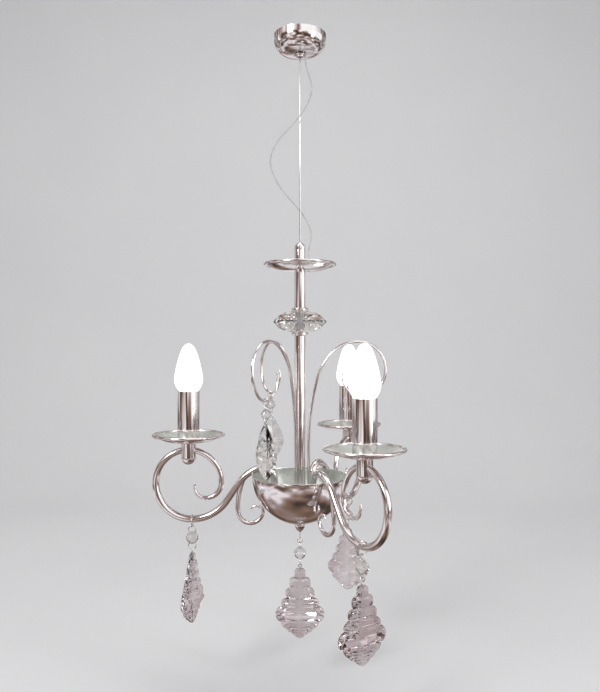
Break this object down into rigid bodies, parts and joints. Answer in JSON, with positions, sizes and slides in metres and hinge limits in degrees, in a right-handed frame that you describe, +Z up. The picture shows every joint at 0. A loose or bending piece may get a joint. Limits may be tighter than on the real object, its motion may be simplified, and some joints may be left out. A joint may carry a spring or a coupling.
{
  "type": "pendant chandelier",
  "caption": "Small candle-arm crystal chandelier hung by a wire and flex from a domed ceiling canopy, with scroll arms, a bowl and cut crystal drops.",
  "frame": {"origin": "centre of the face that meets the ceiling, on the suspension wire's axis", "axes": "+Z up out of the fitting into the ceiling; -Y towards the usual viewer; one arm along -X"},
  "size_m": [0.2952, 0.3272, 0.7416],
  "materials": {
    "black_plastic": "matte",
    "chrome": "polished",
    "crystal": "cut and polished",
    "flex": "satin",
    "opal": "opal, lit",
    "steel": "plain zinc",
    "white_plastic": "matte"
  },
  "bodies": {
    "ceiling_mount": {"ceiling_bracket": "steel", "canopy_nipple": "steel", "canopy_shell": "chrome", "cable_grip": "chrome", "terminal_block": "white_plastic", "flex_cord": "flex"},
    "fixture": {"suspension_wire": "chrome", "stem_cap": "chrome", "upper_tube": "chrome", "lower_tube": "chrome", "top_pan": "chrome", "cord_bush": "black_plastic", "disc_collars": "chrome", "crystal_disc": "crystal", "threaded_rod": "steel", "bowl": "chrome", "arm_hub": "steel", "finial": "chrome", "arm_left": "chrome", "candle_cup_left": "chrome", "candle_pan_left": "chrome", "candle_sleeve_left": "chrome", "lampholder_left": "white_plastic", "arm_front": "chrome", "candle_cup_front": "chrome", "candle_pan_front": "chrome", "candle_sleeve_front": "chrome", "lampholder_front": "white_plastic", "arm_back": "chrome", "candle_cup_back": "chrome", "candle_pan_back": "chrome", "candle_sleeve_back": "chrome", "lampholder_back": "white_plastic", "upper_wire_right": "chrome", "upper_wire_front": "chrome", "upper_wire_back": "chrome"},
    "lamp_body_left": {"lamp_left": "opal"},
    "lamp_body_front": {"lamp_front": "opal"},
    "lamp_body_back": {"lamp_back": "opal"},
    "drop_left": {"drop_rings_left": "chrome", "bead_left": "crystal", "pendant_left": "crystal"},
    "drop_front": {"drop_rings_front": "chrome", "bead_front": "crystal", "pendant_front": "crystal"},
    "drop_back": {"drop_rings_back": "chrome", "bead_back": "crystal", "pendant_back": "crystal"},
    "drop_bow_right": {"drop_rings_bow_right": "chrome", "bead_bow_right": "crystal", "pendant_bow_right": "crystal"},
    "drop_bow_front": {"drop_rings_bow_front": "chrome", "bead_bow_front": "crystal", "pendant_bow_front": "crystal"},
    "drop_bow_back": {"drop_rings_bow_back": "chrome", "bead_bow_back": "crystal", "pendant_bow_back": "crystal"},
    "drop_centre": {"drop_rings_centre": "chrome", "bead_centre": "crystal", "pendant_centre": "crystal"}
  },
  "joints": [
    {"name": "fixture_swing", "type": "hinge", "parent": "ceiling_mount", "child": "fixture", "pos_m": [0, 0, -0.021], "axis": [0, 1, 0], "range_deg": [-8, 8], "deforming": ["flex_cord"]},
    {"name": "lamp_turn_left", "type": "hinge", "parent": "fixture", "child": "lamp_body_left", "pos_m": [-0.13718, 0, -0.51005], "axis": [0, 0, 1], "range_deg": [0, 360]},
    {"name": "lamp_turn_front", "type": "hinge", "parent": "fixture", "child": "lamp_body_front", "pos_m": [0.06859, -0.1188, -0.51005], "axis": [0, 0, 1], "range_deg": [0, 360]},
    {"name": "lamp_turn_back", "type": "hinge", "parent": "fixture", "child": "lamp_body_back", "pos_m": [0.06859, 0.1188, -0.51005], "axis": [0, 0, 1], "range_deg": [0, 360]},
    {"name": "drop_swing_left", "type": "hinge", "parent": "fixture", "child": "drop_left", "pos_m": [-0.13278, 0, -0.59525], "axis": [-1, 0, 0], "range_deg": [-25, 25]},
    {"name": "drop_swing_front", "type": "hinge", "parent": "fixture", "child": "drop_front", "pos_m": [0.06639, -0.11499, -0.59525], "axis": [0.5, -0.866, 0], "range_deg": [-25, 25]},
    {"name": "drop_swing_back", "type": "hinge", "parent": "fixture", "child": "drop_back", "pos_m": [0.06639, 0.11499, -0.59525], "axis": [0.5, 0.866, 0], "range_deg": [-25, 25]},
    {"name": "drop_swing_bow_right", "type": "hinge", "parent": "fixture", "child": "drop_bow_right", "pos_m": [0.07725, 0, -0.44474], "axis": [1, 0, 0], "range_deg": [-25, 25]},
    {"name": "drop_swing_bow_front", "type": "hinge", "parent": "fixture", "child": "drop_bow_front", "pos_m": [-0.03862, -0.0669, -0.44474], "axis": [-0.5, -0.866, 0], "range_deg": [-25, 25]},
    {"name": "drop_swing_bow_back", "type": "hinge", "parent": "fixture", "child": "drop_bow_back", "pos_m": [-0.03862, 0.0669, -0.44474], "axis": [-0.5, 0.866, 0], "range_deg": [-25, 25]},
    {"name": "drop_swing_centre", "type": "hinge", "parent": "fixture", "child": "drop_centre", "pos_m": [0, 0, -0.62156], "axis": [0, 1, 0], "range_deg": [-25, 25]}
  ]
}
